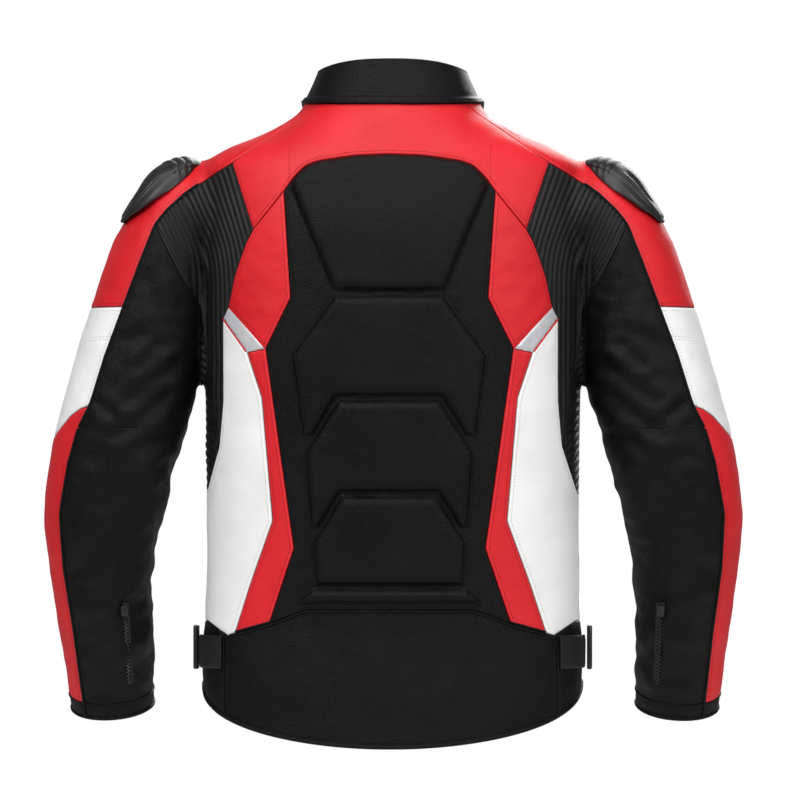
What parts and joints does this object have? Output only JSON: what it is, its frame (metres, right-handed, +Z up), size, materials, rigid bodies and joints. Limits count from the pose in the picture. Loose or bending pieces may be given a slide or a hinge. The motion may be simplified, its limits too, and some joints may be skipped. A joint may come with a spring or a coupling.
{
  "type": "leather riding jacket",
  "caption": "Leather riding jacket with padded back, ribbed stretch panels, shoulder sliders, zips, waist adjusters and inner protectors.",
  "frame": {"origin": "centre of the neck opening, level with the collar seam at the centre back, where a hanger or the wearer holds the jacket", "axes": "+Z up, +Y towards the jacket's front, +X towards the wearer's right"},
  "size_m": [0.6996, 0.2502, 0.6868],
  "materials": {
    "red_leather": "smooth coated red leather",
    "white_leather": "smooth coated white leather",
    "black_leather": "pebbled black leather, soft sheen",
    "stretch_rib": "ribbed matte stretch fabric",
    "reflective": "silver reflective film on cloth",
    "armour_plastic": "moulded glossy dark plastic",
    "zip_metal": "dark nickel teeth and sliders",
    "loop_metal": "black coated loop",
    "webbing": "woven black tape",
    "lining_mesh": "black mesh lining",
    "foam": "moulded protector foam"
  },
  "bodies": {
    "torso": {"back_yoke": "red_leather", "back_centre_panel": "black_leather", "waistband_back": "black_leather", "collar": "black_leather", "lining": "lining_mesh", "back_protector": "foam", "hanger_loop": "webbing", "trouser_zip": "webbing", "front_zip": "zip_metal", "back_blade_R": "red_leather", "back_blade_L": "red_leather", "side_stripe_R": "red_leather", "side_stripe_L": "red_leather", "side_panel_R": "white_leather", "side_panel_L": "white_leather", "reflective_insert_R": "reflective", "reflective_insert_L": "reflective", "stretch_panel_R": "stretch_rib", "stretch_panel_L": "stretch_rib", "front_shoulder_R": "red_leather", "front_shoulder_L": "red_leather", "front_panel_R": "black_leather", "front_panel_L": "black_leather", "waistband_front_R": "black_leather", "waistband_front_L": "black_leather", "pocket_zip_R": "zip_metal", "pocket_zip_L": "zip_metal", "waist_strap_R": "webbing", "waist_strap_L": "webbing"},
    "sleeve_R": {"sleeve_cap_R": "red_leather", "sleeve_band_R": "white_leather", "sleeve_under_R": "black_leather", "shoulder_armour_base_R": "armour_plastic", "shoulder_armour_cap_R": "armour_plastic", "shoulder_pad_R": "foam"},
    "forearm_R": {"forearm_outer_R": "red_leather", "forearm_under_R": "black_leather", "cuff_R": "black_leather", "elbow_pad_R": "foam", "cuff_zip_R": "zip_metal"},
    "cuff_slider_R": {"cuff_slider_R": "zip_metal"},
    "pocket_slider_R": {"pocket_slider_R": "zip_metal"},
    "waist_loop_R": {"waist_loop_R": "loop_metal"},
    "sleeve_L": {"sleeve_cap_L": "red_leather", "sleeve_band_L": "white_leather", "sleeve_under_L": "black_leather", "shoulder_armour_base_L": "armour_plastic", "shoulder_armour_cap_L": "armour_plastic", "shoulder_pad_L": "foam"},
    "forearm_L": {"forearm_outer_L": "red_leather", "forearm_under_L": "black_leather", "cuff_L": "black_leather", "elbow_pad_L": "foam", "cuff_zip_L": "zip_metal"},
    "cuff_slider_L": {"cuff_slider_L": "zip_metal"},
    "pocket_slider_L": {"pocket_slider_L": "zip_metal"},
    "waist_loop_L": {"waist_loop_L": "loop_metal"},
    "zip_slider": {"zip_slider": "zip_metal"},
    "zip_pull": {"zip_pull": "zip_metal"},
    "collar_tab": {"collar_tab": "black_leather"}
  },
  "joints": [
    {"name": "front_zip_slide", "type": "slide", "parent": "torso", "child": "zip_slider", "axis": [0, 0.0539, -0.9985], "range_m": [0, 0.43]},
    {"name": "zip_pull_swing", "type": "hinge", "parent": "zip_slider", "child": "zip_pull", "pos_m": [0, 0.1003, -0.1166], "axis": [1, 0, 0], "range_deg": [0, 120]},
    {"name": "collar_tab_open", "type": "hinge", "parent": "torso", "child": "collar_tab", "pos_m": [0.017, 0.0622, -0.05], "axis": [0, 0.3511, -0.9363], "range_deg": [0, 110]},
    {"name": "shoulder_lift_R", "type": "hinge", "parent": "torso", "child": "sleeve_R", "pos_m": [0.191, 0, -0.056], "axis": [0, -1, 0], "range_deg": [0, 35]},
    {"name": "elbow_bend_R", "type": "hinge", "parent": "sleeve_R", "child": "forearm_R", "pos_m": [0.272, 0.064, -0.325], "axis": [1, 0, 0], "range_deg": [0, 50]},
    {"name": "cuff_zip_slide_R", "type": "slide", "parent": "forearm_R", "child": "cuff_slider_R", "axis": [-0.0328, 0.3988, -0.9165], "range_m": [0, 0.076]},
    {"name": "pocket_zip_slide_R", "type": "slide", "parent": "torso", "child": "pocket_slider_R", "axis": [0.2768, -0.001, -0.9609], "range_m": [0, 0.115]},
    {"name": "waist_loop_swing_R", "type": "hinge", "parent": "torso", "child": "waist_loop_R", "pos_m": [0.194, -0.008, -0.557], "axis": [0, 0, -1], "range_deg": [0, 60]},
    {"name": "shoulder_lift_L", "type": "hinge", "parent": "torso", "child": "sleeve_L", "pos_m": [-0.191, 0, -0.056], "axis": [0, 1, 0], "range_deg": [0, 35]},
    {"name": "elbow_bend_L", "type": "hinge", "parent": "sleeve_L", "child": "forearm_L", "pos_m": [-0.272, 0.064, -0.325], "axis": [1, 0, 0], "range_deg": [0, 50]},
    {"name": "cuff_zip_slide_L", "type": "slide", "parent": "forearm_L", "child": "cuff_slider_L", "axis": [0.0328, 0.3988, -0.9165], "range_m": [0, 0.076]},
    {"name": "pocket_zip_slide_L", "type": "slide", "parent": "torso", "child": "pocket_slider_L", "axis": [-0.2768, -0.001, -0.9609], "range_m": [0, 0.115]},
    {"name": "waist_loop_swing_L", "type": "hinge", "parent": "torso", "child": "waist_loop_L", "pos_m": [-0.194, -0.008, -0.557], "axis": [0, 0, 1], "range_deg": [0, 60]}
  ]
}
